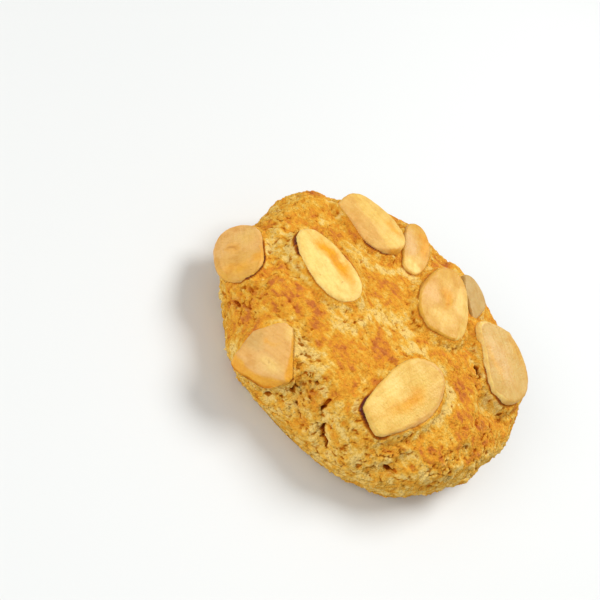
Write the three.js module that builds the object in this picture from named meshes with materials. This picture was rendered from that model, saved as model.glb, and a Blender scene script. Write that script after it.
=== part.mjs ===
// A mantecado: a thick, round, crumbly biscuit with toasted almond slices pressed into its top.
// Millimetres, +Z up. The origin is the centre of the flat base, and the side that shows best faces -Y.
// Angles are degrees of azimuth about +Z: 0 is +X, the right-hand side, and -90 is the front.

import * as THREE from "three";
import { ImprovedNoise } from "three/addons/math/ImprovedNoise.js";
import { mergeVertices } from "three/addons/utils/BufferGeometryUtils.js";

// Driving dimensions of the dough
const DIAMETER = 68;
const HEIGHT = 21;
const BASE_DIAMETER = 59;
const GIRTH_HEIGHT = 8.4; // where the bulging wall is widest
const SHOULDER_POWER = 2.4; // 2 is an ellipse, and more is squarer
const FOOT_POWER = 2.2;

// The plan isn't a true circle: each entry swells it by so many lobes, the first of them at that azimuth.
const PLAN_LOBES = [
  { lobes: 2, swell: 1.0, azimuth: 7 },
  { lobes: 3, swell: 0.2, azimuth: 10 },
  { lobes: 5, swell: 0.6, azimuth: 26 },
];

// Lumps and hollows of the baked crust, centred on the surface at an azimuth and a height
const LUMPS = [
  { azimuth: 171, height: 16.0, rise: 1.7, reach: 10.0 },
  { azimuth: 157, height: 16.5, rise: -1.5, reach: 6.4 },
  { azimuth: 92, height: 17.0, rise: -1.3, reach: 14.0 },
  { azimuth: 84, height: 17.5, rise: 1.1, reach: 5.6 },
  { azimuth: 102, height: 17.5, rise: -0.6, reach: 5.2 },
  { azimuth: -150, height: 9.0, rise: 2.2, reach: 12.0 },
  { azimuth: -107, height: 9.0, rise: 1.5, reach: 12.0 },
  { azimuth: -126, height: 13.0, rise: -0.7, reach: 9.0 },
  { azimuth: -57, height: 7.0, rise: 0.8, reach: 14.0 },
  { azimuth: -30, height: 16.0, rise: 0.7, reach: 10.0 },
  { azimuth: -82, height: 17.5, rise: 0.6, reach: 10.0 },
  { azimuth: -128, height: 18.0, rise: 0.6, reach: 10.0 },
];

// Gashes that opened in the crust as it rose, each a run of [azimuth, height] on the surface
const CRACKS = [
  { run: [[-95, 10.6], [-92.5, 12.2], [-91, 14.8]], depth: 2.6, reach: 2.1 },
  { run: [[-100, 7.2], [-94, 9.4]], depth: 1.3, reach: 1.9 },
  { run: [[-91, 9.4], [-86.5, 7.0]], depth: 1.4, reach: 1.9 },
  { run: [[-86, 14.6], [-80, 12.6]], depth: 1.3, reach: 1.9 },
  { run: [[-80, 11.2], [-73.5, 7.2]], depth: 1.8, reach: 1.9 },
  { run: [[-59, 9.4], [-51.5, 11.4], [-49.5, 14.2]], depth: 1.9, reach: 2.0 },
  { run: [[-4, 18.2], [5, 15.2]], depth: 2.2, reach: 2.1 },
  { run: [[-26, 15.6], [-22, 14.4]], depth: 1.2, reach: 1.8 },
];

// The same kind of gash goes on round the wall behind, at a seeded spread of places. Each runs on by so many
// degrees, between the least and the most, and climbs or drops by up to climb.
const BACK_CRACKS = {
  count: 7, from: 25, to: 205, low: 7, high: 14, least: 1.8, most: 7.8, climb: 3, depth: 1.6, reach: 2.0,
};
const SEED = 11;

// Unevenness of the whole crust: size is the breadth of one swell and depth how far it rises or sinks.
const RELIEF = [
  { size: 13, depth: 0.75 },
  { size: 5.5, depth: 0.6 },
  { size: 3.2, depth: 0.4 },
];
const RELIEF_SHIFT = 17; // keeps the swells of one size out of step with those of the next
const FLAT_FOOT = 2.5; // below this height the relief fades away to the flat base

// Almond slices. at is the centre of the underside. A slice falls by so many degrees toward an azimuth,
// and its length points along its heading. A break is a straight edge at an angle from the heading,
// so far from the centre.
const SLICE_THICKNESS = 2.0;
const SLICES = [
  {
    name: "almond_long", at: [-16.1, -10.4, 18.8], fall: 12, toward: -140, heading: 162,
    length: 18.9, width: 9.6, taper: 0.1,
  },
  {
    name: "almond_front", at: [11.7, -19.5, 17.9], fall: 20, toward: -62, heading: 87,
    length: 21.2, width: 11.6, taper: -0.06,
    breaks: [{ angle: 178, from: 8.6 }, { angle: 101, from: 5.4 }, { angle: 251, from: 5.5 }],
  },
  {
    name: "almond_centre", at: [4.5, 6.4, 20.5], fall: 6, toward: -60, heading: 114, thickness: 2.4,
    length: 18.0, width: 11.8, taper: 0.16, breaks: [{ angle: 186, from: 8.4 }],
  },
  {
    name: "almond_tucked", at: [8.6, 15.6, 19.2], fall: 10, toward: 10, heading: 140,
    length: 12.4, width: 6.6, breaks: [{ angle: 90, from: 1.6 }, { angle: 226, from: 2.2 }],
  },
  {
    name: "almond_left_rim", at: [-29.2, -16.5, 10.2], fall: 45, toward: -155, heading: 142,
    length: 17.6, width: 10.8, breaks: [{ angle: 268, from: 4.9 }],
  },
  {
    name: "almond_front_rim", at: [-10.0, -30.6, 12.1], fall: 39, toward: -105, heading: 16, thickness: 2.6,
    length: 15.0, width: 13.0,
    breaks: [
      { angle: 176, from: 5.0 }, { angle: 144, from: 5.0 }, { angle: 33, from: 4.1 },
      { angle: 271, from: 5.6 }, { angle: 320, from: 5.6 },
    ],
  },
  {
    name: "almond_right_rim", at: [20.7, 9.3, 19.1], fall: 16, toward: -30, heading: 164,
    length: 18.7, width: 13.4, taper: 0.06, breaks: [{ angle: 72, from: 5.2 }, { angle: 325, from: 7.3 }],
  },
  {
    name: "almond_back_left", at: [-17.7, 8.5, 19.1], fall: 6, toward: -130, heading: 180, thickness: 2.6,
    length: 16.5, width: 11.8, breaks: [{ angle: 72, from: 4.8 }, { angle: 135, from: 7.2 }],
  },
  {
    name: "almond_back", at: [-8.2, 13.2, 19.4], fall: 6, toward: -60, heading: 120,
    length: 12.6, width: 6.4, breaks: [{ angle: 92, from: 2.1 }],
  },
];
const SLICE_POWER = 2.25; // squareness of a slice's outline
const SECTION_POWER = 5; // squareness of a slice's cross-section
const CROWN = 0.3; // rise of a slice's top from its rim to its middle
const UNEVEN_RIM = 0.03; // how far the rim wanders, as a share of its distance from the centre
const RIM_WAVES = 1.5;

// The bed that each slice presses into the dough
const BED_GAP = 0.35;
const BED_MARGIN = 1.15;
const BED_SLOPE = 1.6;

// How finely the surfaces are divided
const DOUGH_DETAIL = 21;
const PROFILE_STEPS = 60;
const BASE_SHARE = 0.12; // the flat base gets few triangles for its area
const SLICE_SEGMENTS = 30;
const SLICE_RINGS = 8;

const noise = new ImprovedNoise();
const radians = THREE.MathUtils.degToRad;
const smoothFall = (distance, reach) => 1 - THREE.MathUtils.smoothstep(distance, 0, reach);

function planRadius(azimuth) {
  let radius = DIAMETER / 2;
  for (const { lobes, swell, azimuth: peak } of PLAN_LOBES) {
    radius += swell * Math.cos(lobes * (azimuth - radians(peak)));
  }
  return radius;
}

// The dough's half section from the middle of the top, over the shoulder and the foot, to the middle of
// the base. out is a share of the plan radius, and filled is the share of the surface passed so far.
function doughSection() {
  const foot = BASE_DIAMETER / DIAMETER;
  const points = [];
  for (let i = 0; i <= PROFILE_STEPS; i++) {
    const turn = (Math.PI / 2) * (i / PROFILE_STEPS);
    const out = Math.sin(turn) ** (2 / SHOULDER_POWER);
    const up = Math.max(Math.cos(turn), 0) ** (2 / SHOULDER_POWER);
    points.push({ out, height: GIRTH_HEIGHT + (HEIGHT - GIRTH_HEIGHT) * up });
  }
  for (let i = 1; i <= PROFILE_STEPS; i++) {
    const turn = (Math.PI / 2) * (i / PROFILE_STEPS);
    const out = foot + (1 - foot) * Math.max(Math.cos(turn), 0) ** (2 / FOOT_POWER);
    points.push({ out, height: GIRTH_HEIGHT * (1 - Math.sin(turn) ** (2 / FOOT_POWER)) });
  }
  for (let i = 1; i <= PROFILE_STEPS; i++) {
    points.push({ out: foot * (1 - i / PROFILE_STEPS), height: 0 });
  }
  let area = 0;
  points.forEach((point, i) => {
    if (i > 0) {
      const last = points[i - 1];
      const along = Math.hypot((point.out - last.out) * (DIAMETER / 2), point.height - last.height);
      const share = point.height === 0 && last.height === 0 ? BASE_SHARE : 1;
      area += share * along * (point.out + last.out);
    }
    point.filled = area;
  });
  points.forEach((point) => (point.filled /= area));
  return points;
}

const SECTION = doughSection();

// The point of the smooth dough where the given share of the surface is passed, and its outward normal
function doughPoint(azimuth, share) {
  let i = 1;
  while (i < SECTION.length - 1 && SECTION[i].filled < share) i++;
  const [a, b] = [SECTION[i - 1], SECTION[i]];
  const mix = THREE.MathUtils.clamp((share - a.filled) / (b.filled - a.filled), 0, 1);
  const radius = planRadius(azimuth);
  const out = radius * THREE.MathUtils.lerp(a.out, b.out, mix);
  const height = THREE.MathUtils.lerp(a.height, b.height, mix);
  const slope = new THREE.Vector2(a.height - b.height, (b.out - a.out) * radius).normalize();
  const across = new THREE.Vector2(Math.cos(azimuth), Math.sin(azimuth));
  return {
    place: new THREE.Vector3(out * across.x, out * across.y, height),
    normal: new THREE.Vector3(slope.x * across.x, slope.x * across.y, slope.y),
  };
}

// The point of the smooth dough at an azimuth in degrees and a height
function pointAtHeight(azimuth, height) {
  let i = 1;
  while (i < 2 * PROFILE_STEPS && SECTION[i].height > height) i++;
  const [a, b] = [SECTION[i - 1], SECTION[i]];
  const mix = (height - a.height) / (b.height - a.height);
  return doughPoint(radians(azimuth), THREE.MathUtils.lerp(a.filled, b.filled, mix)).place;
}

// Short gashes at seeded places round the wall that faces away
function backCracks() {
  const { seededRandom: random, clamp, lerp } = THREE.MathUtils;
  random(SEED);
  const { count, from, to, low, high, least, most, climb, depth, reach } = BACK_CRACKS;
  return Array.from({ length: count }, (_, i) => {
    const azimuth = lerp(from, to, (i + random()) / count);
    const start = lerp(low, high, random());
    const end = clamp(start + lerp(-climb, climb, random()), low, high);
    return { run: [[azimuth, start], [azimuth + lerp(least, most, random()), end]], depth, reach };
  });
}

function crackDepth(cracks, place) {
  const nearest = new THREE.Vector3();
  let deepest = 0;
  for (const { lines, depth, reach } of cracks) {
    for (const line of lines) {
      line.closestPointToPoint(place, true, nearest);
      deepest = Math.max(deepest, depth * smoothFall(place.distanceTo(nearest), reach));
    }
  }
  return deepest;
}

function crustRelief(place) {
  let rise = 0;
  RELIEF.forEach(({ size, depth }, i) => {
    rise += depth * noise.noise(place.x / size + i * RELIEF_SHIFT, place.y / size, place.z / size);
  });
  for (const { centre, rise: lump, reach } of LUMP_PLACES) {
    rise += lump * smoothFall(place.distanceTo(centre), reach);
  }
  return rise;
}

const LUMP_PLACES = LUMPS.map((lump) => ({ ...lump, centre: pointAtHeight(lump.azimuth, lump.height) }));
const CRACK_LINES = [...CRACKS, ...backCracks()].map((crack) => {
  const spots = crack.run.map(([azimuth, height]) => pointAtHeight(azimuth, height));
  return { ...crack, lines: spots.slice(1).map((spot, i) => new THREE.Line3(spots[i], spot)) };
});

// A slice's own axes: its length, its width and the normal of its broad face
function sliceAxes({ fall, toward, heading }) {
  const tilt = new THREE.Vector3(Math.cos(radians(toward)), Math.sin(radians(toward)), 0);
  const normal = tilt.multiplyScalar(Math.sin(radians(fall)));
  normal.z = Math.cos(radians(fall));
  const along = new THREE.Vector3(Math.cos(radians(heading)), Math.sin(radians(heading)), 0);
  along.addScaledVector(normal, -along.dot(normal)).normalize();
  return { along, across: new THREE.Vector3().crossVectors(normal, along), normal };
}

// Distance from a slice's centre to its rim in a direction of its own plane
function sliceReach(slice, angle) {
  const taper = slice.taper ?? 0;
  const half = (slice.width / 2) * (1 - taper * Math.cos(angle));
  const lengthwise = Math.abs(Math.cos(angle)) / (slice.length / 2);
  const crosswise = Math.abs(Math.sin(angle)) / half;
  let reach = (lengthwise ** SLICE_POWER + crosswise ** SLICE_POWER) ** (-1 / SLICE_POWER);
  for (const { angle: facing, from } of slice.breaks ?? []) {
    const toward = Math.cos(angle - radians(facing));
    if (toward > 0) reach = Math.min(reach, from / toward);
  }
  const [x, y] = [RIM_WAVES * Math.cos(angle), RIM_WAVES * Math.sin(angle)];
  const ragged = noise.noise(x, y, slice.length + slice.width);
  return reach * (1 + UNEVEN_RIM * ragged);
}

// Presses one point of the crust down to the beds of the slices that lie over it.
function pressIntoBeds(place) {
  const offset = new THREE.Vector3();
  for (const slice of SEATED_SLICES) {
    offset.copy(place).sub(slice.centre);
    const [x, y, z] = [offset.dot(slice.along), offset.dot(slice.across), offset.dot(slice.normal)];
    const outside = Math.hypot(x, y) - sliceReach(slice, Math.atan2(y, x));
    const limit = BED_SLOPE * Math.max(outside - BED_MARGIN, 0) - BED_GAP;
    if (z > limit) place.addScaledVector(slice.normal, limit - z);
  }
}

const SEATED_SLICES = SLICES.map((slice) => ({
  ...slice,
  ...sliceAxes(slice),
  centre: new THREE.Vector3(...slice.at),
}));

// Moves every vertex of a three.js geometry by a function of its place, on one closed skin.
function reshape(geometry, move) {
  geometry.deleteAttribute("normal");
  geometry.deleteAttribute("uv");
  const skin = mergeVertices(geometry);
  const positions = skin.getAttribute("position");
  const place = new THREE.Vector3();
  for (let i = 0; i < positions.count; i++) {
    const moved = move(place.fromBufferAttribute(positions, i));
    positions.setXYZ(i, moved.x, moved.y, moved.z);
  }
  skin.computeVertexNormals();
  return skin;
}

function makeDough() {
  return reshape(new THREE.IcosahedronGeometry(1, DOUGH_DETAIL), (direction) => {
    const { place, normal } = doughPoint(Math.atan2(direction.y, direction.x), (1 - direction.z) / 2);
    if (place.z === 0) return place;
    const fade = THREE.MathUtils.smoothstep(place.z, 0, FLAT_FOOT);
    const rise = crustRelief(place) - crackDepth(CRACK_LINES, place);
    place.addScaledVector(normal, fade * rise);
    pressIntoBeds(place);
    return place;
  });
}

// A slice lies flat in its own frame: length along X, width along Y, underside at Z = 0.
function makeSlice(slice) {
  const thickness = slice.thickness ?? SLICE_THICKNESS;
  const ball = new THREE.SphereGeometry(1, SLICE_SEGMENTS, SLICE_RINGS);
  ball.rotateX(Math.PI / 2);
  return reshape(ball, (place) => {
    const out = Math.hypot(place.x, place.y) ** (2 / SECTION_POWER);
    const level = Math.sign(place.z) * Math.abs(place.z) ** (2 / SECTION_POWER);
    const angle = Math.atan2(slice.width * place.y, slice.length * place.x);
    const reach = out * sliceReach(slice, angle);
    const crown = Math.max(level, 0) * CROWN * (1 - out * out);
    const height = (thickness * (level + 1)) / 2 + crown;
    return place.set(reach * Math.cos(angle), reach * Math.sin(angle), height);
  });
}

function named(name, geometry, material) {
  const mesh = new THREE.Mesh(geometry, material);
  mesh.name = name;
  return mesh;
}

const biscuit = new THREE.Group();
biscuit.name = "mantecado";
const crust = new THREE.MeshStandardMaterial({ color: "#d89a45", roughness: 0.85, metalness: 0 });
biscuit.add(named("dough", makeDough(), crust));
for (const slice of SEATED_SLICES) {
  const toasted = new THREE.MeshStandardMaterial({ color: "#efcb8d", roughness: 0.55, metalness: 0 });
  const mesh = named(slice.name, makeSlice(slice), toasted);
  mesh.position.copy(slice.centre);
  mesh.setRotationFromMatrix(new THREE.Matrix4().makeBasis(slice.along, slice.across, slice.normal));
  biscuit.add(mesh);
}

export default biscuit;
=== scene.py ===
"""A mantecado, dressed: a thick, crumbly biscuit with a browned crust and toasted almond slices.

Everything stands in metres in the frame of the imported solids: the origin is the centre of the flat base,
+Z is up and -Y is the side that shows best. Sizes are written in millimetres and turned to metres by MM.
"""

import math
from dataclasses import dataclass

import bpy
import numpy as np
from mathutils import Matrix, Vector, noise
from mathutils.bvhtree import BVHTree


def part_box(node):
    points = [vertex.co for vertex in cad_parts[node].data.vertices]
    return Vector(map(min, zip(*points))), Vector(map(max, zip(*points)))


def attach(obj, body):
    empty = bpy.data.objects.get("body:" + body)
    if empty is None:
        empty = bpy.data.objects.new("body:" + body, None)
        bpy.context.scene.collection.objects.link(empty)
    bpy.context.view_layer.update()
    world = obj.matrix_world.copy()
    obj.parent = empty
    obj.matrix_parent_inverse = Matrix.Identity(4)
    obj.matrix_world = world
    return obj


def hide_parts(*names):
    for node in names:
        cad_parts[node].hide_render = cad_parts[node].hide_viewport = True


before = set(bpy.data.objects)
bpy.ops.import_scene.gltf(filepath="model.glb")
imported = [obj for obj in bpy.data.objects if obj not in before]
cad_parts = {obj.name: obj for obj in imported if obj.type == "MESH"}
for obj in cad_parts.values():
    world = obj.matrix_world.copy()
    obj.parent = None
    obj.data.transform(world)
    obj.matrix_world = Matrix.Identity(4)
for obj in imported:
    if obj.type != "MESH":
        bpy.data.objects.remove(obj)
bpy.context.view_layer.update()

MM = 0.001
SEED = 7

# The camera looks down on the front of the biscuit and is rolled, as if the biscuit stood on edge.
IMAGE_SIDE = 600
LENS_MM = 50.0
SENSOR_MM = 36.0
CAMERA_ELEVATION = 40.0
CAMERA_ROLL = 47.3
CAMERA_DISTANCE = 175.8 * MM
CAMERA_TARGET = Vector((0.0, 0.0, 10.3 * MM))
TARGET_PIXEL = (381.9, 330.3)

# A plain pale floor in a bright room
FLOOR_SIDE = 4.0
FLOOR_PALE = (0.68, 0.69, 0.68, 1)
ROOM_LIGHT = 0.5

# Blank of the dough: a disc of quads on top, and a skirt that is drawn down over the shoulder to the foot
RIM_QUADS = 80
DISC_SHARE = 0.65  # radius of the flat disc, as a share of the girth
GIRTH_SHARE = 0.4  # height of the widest place, as a share of the whole height
FOOT_SHARE = 0.87
SHOULDER_ROWS = 7
FOOT_ROWS = 5
SHOULDER_POWER = 2.4
FOOT_POWER = 2.2
WRAP_LIMIT = 6.0 * MM
BASE_RINGS = (0.9, 0.5)  # each as a share of the ring outside it
LEAST_WEIGHT = 0.001

# Each slice's pressed bed is smoothed into one soft skin, which is then drawn up against the slice's rim.
# Wide valleys in the solid are half filled in the same way.
BED_FULL = 2.0 * MM
BED_FADE = 3.2 * MM
BED_ROUNDS = 160
VALLEY = (1.2 * MM, 2.6 * MM)
VALLEY_ROUNDS = 14
SKIN_ROUNDS = 3
LIP_REACH = 2.3 * MM
LIP_TUCK = 0.7 * MM
LIP_PRESS = (0.2 * MM, 1.0 * MM)  # how far from a rim higher dough is pressed down fully, and at all
LIP_LEVEL = (2.2 * MM, 3.3 * MM)  # how far above or below a rim dough is moved fully, and at all
LIP_WAVE = 0.3  # how much the lip sinks here and there
LIP_WAVE_SIZE = 2.5 * MM
BED_TUCK = 0.25 * MM
BED_GAP = (2.4 * MM, 4.8 * MM)  # how wide a gap under a slice is closed fully, and at all
BED_SKIRT = 2.6 * MM
RIM_LINE = 0.4 * MM  # breadth of the brown line of toasted edge and painted contact shadow round every slice, browner on its shaded near side
RIM_BROWN_NEAR = 0.3
RIM_BROWN_FAR = 0.06
RIM_CALM = (0.4 * MM, 1.2 * MM)  # how far from a rim the dough is calmest, and calmed at all
RIM_QUIET = 0.85  # share of the relief that is lost beside a rim and under caramel and painted contact shadow
DARK_STRETCH_CORE = 0.5  # share of a dark stretch's breadth, burnt caramel and painted shadow, that is darkest

# Gashes torn open by the oven: a run of points in mm that is laid on the crust, depth and half width in mm
GASHES = [
    ([(-1.7, -32.1, 11.6), (-1.5, -31.3, 13.1), (-0.6, -30.2, 14.6)], 1.6, 0.30),
    ([(-5.5, -32.7, 6.9), (-2.9, -32.7, 9.1)], 1.0, 0.23),
    ([(-1.2, -32.5, 10.0), (0.4, -32.5, 8.7), (1.6, -32.4, 7.8)], 1.5, 0.27),
    ([(2.6, -30.0, 14.3), (3.2, -30.6, 13.4), (4.5, -31.2, 12.2)], 1.5, 0.26),
    ([(5.6, -31.6, 11.0), (6.4, -31.7, 10.2), (7.4, -31.6, 8.9), (8.7, -31.4, 7.6)], 1.6, 0.26),
    ([(17.5, -28.6, 9.8), (19.0, -27.6, 10.8), (21.0, -26.1, 11.4)], 1.5, 0.26),
    ([(25.2, -2.0, 18.1), (28.1, 0.2, 16.9), (30.2, 2.4, 16.0)], 1.5, 0.30),
    ([(18.0, 3.0, 19.8), (19.6, 1.9, 19.5)], 1.2, 0.26),
    ([(11.6, -30.8, 9.2), (15.4, -29.5, 9.5)], 0.8, 0.20),
    ([(25.9, -12.9, 15.5), (26.7, -10.8, 14.6)], 1.0, 0.24),
]
GASH_WANDERS = [(2.4, 0.8), (0.8, 0.4)]  # size of each bend and how far it strays, in mm
GASH_FLANKS = (0.3, 2.0)  # how far from its line it is deepest, and reaches at all, in half widths
GASH_PINCH = 0.5  # how much it opens and closes
GASH_PINCH_SIZE = 1.1 * MM
GASH_BRIDGE_SIZE = 1.5 * MM  # size of the crumbs that bridge it
GASH_BRIDGE_EDGES = (-0.25, 0.15)  # noise below which a bridge lies, and above which it is open
GASH_BRIDGED = 0.3  # share of the depth under a bridge
GASH_OPEN = 0.5 * MM  # depth at which few crumbs are left inside
GASH_CALM = 0.75  # share of the roughness that is lost there

# Relief of the crust, in layers: wide lumps, folds of the skin that run along X, coarse crumbs and sand
LUMP_SIZE = 5.5 * MM
LUMP_RISE = 0.4 * MM
FOLD_SIZE = 2.1 * MM
FOLD_STRETCH = np.array([0.55, 1.0, 1.0])
FOLD_RISE = 0.25 * MM
FOLD_LAYERS = [(1.0, 1.0), (2.1, 0.5)]  # how much finer each layer is, and its share
FOLD_MEAN = 0.35
GRAIN_SIZE = 1.6 * MM
GRAIN_RISE = 0.65 * MM
SAND_SIZE = 0.7 * MM
SAND_RISE = 0.3 * MM
GRAIN_WANDERS = [(2.0, 1.0), (0.7, 0.3)]
GRAIN_SHARES = np.array([0.55, 0.25, 0.6])  # of a crumb's round top, the seam round it and its own height
GRAIN_MEAN = 0.5
GRAIN_ROUND = 1.5  # power of the round top
GRAIN_SEAM = 0.3  # width of the seam, as a share of the crumb's size
GRAIN_SHUFFLE = 9.7  # spreads the heights of neighbouring crumbs apart
DETAIL_ROUNDS = 24  # rounds of blurring that tell the fine relief from the wide one
FOOT_CALM = 2.0 * MM  # the relief grows over this height above the base
STEEPNESS = (0.45, 0.85)  # upward part of the normal on the wall and on the top

# How crumbly the crust is: least on the browned skin of the top and most where it broke up
TOP_ROUGH = 0.42
WALL_ROUGH = 0.62
MOST_ROUGH = 1.5
SKIN_CALM = 0.12  # how much smoother the browned skin is
SKIN_BROWN = (0.4, 0.9)  # browning at which a skin starts to form and is closed

# Places where the dough broke up into crumbs: centre in mm, reach in mm and how much rougher
CRUMBLY = [
    ((-25.9, -14.3, 15.9), 5.5, 0.2),
    ((-22.7, -24.8, 12.3), 6.0, 0.7),
    ((-20.2, -17.4, 17.5), 4.5, 0.3),
    ((-9.5, -26.5, 16.6), 4.5, 0.75),
    ((-5.5, -28.3, 15.9), 4.5, 0.8),
    ((-1.5, -30.6, 13.6), 5.0, 0.65),
    ((8.4, -31.5, 9.0), 7.0, 0.3),
    ((18.0, -27.0, 12.0), 7.0, 0.3),
    ((-30.6, -5.9, 15.2), 4.0, 0.4),
    ((27.5, -4.5, 16.5), 4.5, 0.7),
    ((31.0, -8.0, 13.2), 6.0, 0.6),
    ((-3.8, -15.8, 20.0), 4.0, 0.5),
    ((21.0, 0.9, 19.3), 3.5, 0.7),
    ((16.9, -24.2, 15.8), 4.0, 0.6),
    ((27.2, -17.7, 13.6), 7.0, 0.5),
    ((0.0, 31.0, 12.0), 9.0, 0.5),
    ((-24.0, 22.0, 12.0), 7.0, 0.6),
    ((28.0, 17.0, 11.0), 8.0, 0.5),
]

# Knobs that the dough pushed up: centre in mm, reach in mm and rise in mm
KNOBS = [
    ((-5.8, 21.8, 18.4), 2.6, 0.9),
    ((0.4, 24.2, 17.6), 3.2, 1.1),
    ((-29.6, 7.5, 15.6), 3.4, 0.5),
]

# Fine cracks of the crust, the edges of cells that wander
CRACK_CELL = 4.0 * MM
CRACK_WANDERS = [(4.2, 1.6), (1.2, 0.5)]
CRACK_HALF_WIDTH = 0.22 * MM
CRACK_DEPTH = 0.45 * MM
CRACK_OPENING = (0.45, 1.1, 0.6)  # how far the cracks open: mean, spread and bends in each cell

# Pits between the crumbs
PIT_CELL = 1.5 * MM
PIT_WANDERS = [(0.9, 0.5)]
PIT_RADIUS = 0.55 * MM
PIT_DEPTH = 0.45 * MM
PIT_OPENING = (0.3, 1.2, 0.5)  # likewise for the pits
PIT_LEAST = 0.3  # share of their depth where the crust isn't rough at all

# The crust is golden on top and sandy on the wall, and browner or paler in the places below.
TOP_BROWN = 0.62
WALL_BROWN = 0.31
SEAM_BROWN = 0.02
BROWN_WANDERS = [(5.0, 1.5), (1.5, 1.0)]

# Middle of each kind of place, and end of a browned one, as shares of its reach
KNOB_CORE = 0.1
SEAM_CORE = 0.1
PATCH_CORE = 0.3
BROWNED_END = 1.4

# Places that the oven browned: centre in mm, reach in mm and how brown
BROWNED = [
    ((-9.8, -21.3, 18.5), 2.2, 1.05),
    ((-12.9, -20.5, 18.3), 3.0, 1.18),
    ((-16.2, -19.6, 18.0), 2.8, 1.1),
    ((-19.7, -21.1, 16.5), 3.2, 0.9),
    ((-17.9, -24.9, 15.4), 3.0, 0.85),
    ((-21.2, -17.8, 17.0), 2.2, 0.85),
    ((-2.2, -21.5, 18.8), 5.2, 0.85),
    ((2.0, -24.4, 17.7), 4.6, 0.84),
    ((4.1, -28.9, 15.1), 3.4, 0.7),
    ((2.7, -19.2, 19.3), 3.6, 0.85),
    ((3.7, -15.0, 20.0), 3.6, 0.95),
    ((-7.7, -2.9, 20.8), 5.0, 0.8),
    ((-3.2, -3.3, 20.9), 4.6, 0.8),
    ((-11.3, -2.8, 20.6), 3.4, 0.75),
    ((-18.1, -1.3, 19.8), 4.0, 0.75),
    ((-18.2, 3.3, 19.8), 3.4, 0.8),
    ((-31.0, -5.2, 15.0), 4.0, 0.75),
    ((-30.0, 6.5, 15.8), 4.6, 0.9),
    ((-27.5, -5.1, 17.0), 3.0, 0.65),
    ((-1.3, 23.3, 18.4), 4.2, 0.92),
    ((-6.9, 5.1, 20.8), 2.4, 0.85),
    ((11.8, 10.7, 20.1), 3.4, 0.85),
    ((8.2, -3.0, 20.8), 3.2, 0.7),
    ((19.5, -6.3, 19.3), 3.6, 0.98),
    ((22.4, -6.3, 18.6), 3.2, 1.0),
    ((23.0, -11.2, 17.8), 4.8, 0.98),
    ((26.4, -5.9, 17.2), 4.2, 0.9),
    ((24.2, -17.7, 15.7), 3.4, 0.9),
    ((-21.5, -26.8, 10.0), 7.5, 0.85),
    ((-16.0, -30.0, 10.8), 5.5, 0.85),
    ((-6.7, -32.6, 5.0), 3.2, 0.6),
    ((14.0, 24.0, 16.5), 6.5, 0.75),
    ((-16.0, 24.0, 16.0), 6.0, 0.75),
    ((29.0, 10.0, 14.5), 6.0, 0.7),
]

# Pale seams where the browned skin parted, each a run of points in mm, with its reach in mm
SEAMS = [
    ([(-10.8, -16.9, 19.4), (-7.0, -19.0, 19.3), (-3.6, -17.6, 19.7), (-2.4, -10.3, 20.6)], 2.3),
    ([(-2.4, -10.3, 20.6), (0.7, -6.3, 20.9), (4.1, -6.1, 20.8), (6.2, -8.9, 20.6)], 2.2),
    (
        [(5.7, -11.1, 20.5), (8.3, -8.8, 20.5), (10.9, -7.2, 20.4), (13.8, -7.0, 20.2), (16.2, -8.1, 19.7)],
        2.2,
    ),
    ([(-6.9, -12.1, 20.4), (-4.3, -10.8, 20.6)], 1.9),
    ([(-14.4, -1.7, 20.3), (-10.7, -1.0, 20.6), (-3.9, 6.3, 20.8), (-3.5, 12.2, 20.5)], 1.8),
    ([(-28.0, -11.3, 15.7), (-24.6, -14.5, 16.5)], 4.2),
    ([(-8.7, -26.4, 16.7), (-5.9, -27.4, 16.4), (-2.4, -27.6, 16.4)], 2.8),
    ([(16.2, -8.1, 19.7), (18.1, -10.9, 19.2), (19.1, -15.1, 18.3)], 2.4),
]

# Colours of the almond slices
CREAM = (0.84, 0.61, 0.19)
BUTTER = (0.74, 0.485, 0.115)
PINK = (0.7, 0.4, 0.12)
ROSE = (0.72, 0.48, 0.22)
BEIGE = (0.52, 0.335, 0.1)
WHEAT = (0.62, 0.4, 0.115)
TAN = (0.62, 0.33, 0.035)
TOAST = (0.74, 0.325, 0.004)
UMBER = (0.76, 0.375, 0.035)
ALMOND_SHADE = (0.9, 0.8, 0.62, 1)
SINGED = (0.4, 0.12, 0.006)
ALMOND_GRAIN = (0.2, 1.4, 1.0)  # stretches the noise along the slice
ALMOND_BUMP = 0.2 * MM


@dataclass
class Slice:
    """How one almond slice looks, in millimetres and degrees of its own plan, X along it and Y across."""

    heading: float  # direction of its length, seen from above
    colour: tuple
    spread: float = 0.0  # how far it reaches beyond its solid's outline
    crown: float = 0.2  # how far its middle rises
    fall: float = 0.2  # how far its top drops to the rim
    breadth: float = 0.5  # over what breadth it drops
    shows: float = 0.15  # how much of the rim's side stands clear of the dough
    # Stretches of rim that fall away more: facing, half angle, breadth, fall, colour, strength
    rounded: tuple = ()
    # Flat cuts: facing, the crease's distance from the middle, slope, colour, strength
    facets: tuple = ()
    # Shallow hollows: along, across, reach along, reach across, depth
    dimples: tuple = ()
    # Patches of colour: along, across, reach along, reach across, colour, strength
    tints: tuple = ()
    # Stretches of rim with burnt caramel and painted shadow beneath it: facing, half angle, breadth, strength
    burnt_and_shaded: tuple = ()


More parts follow.
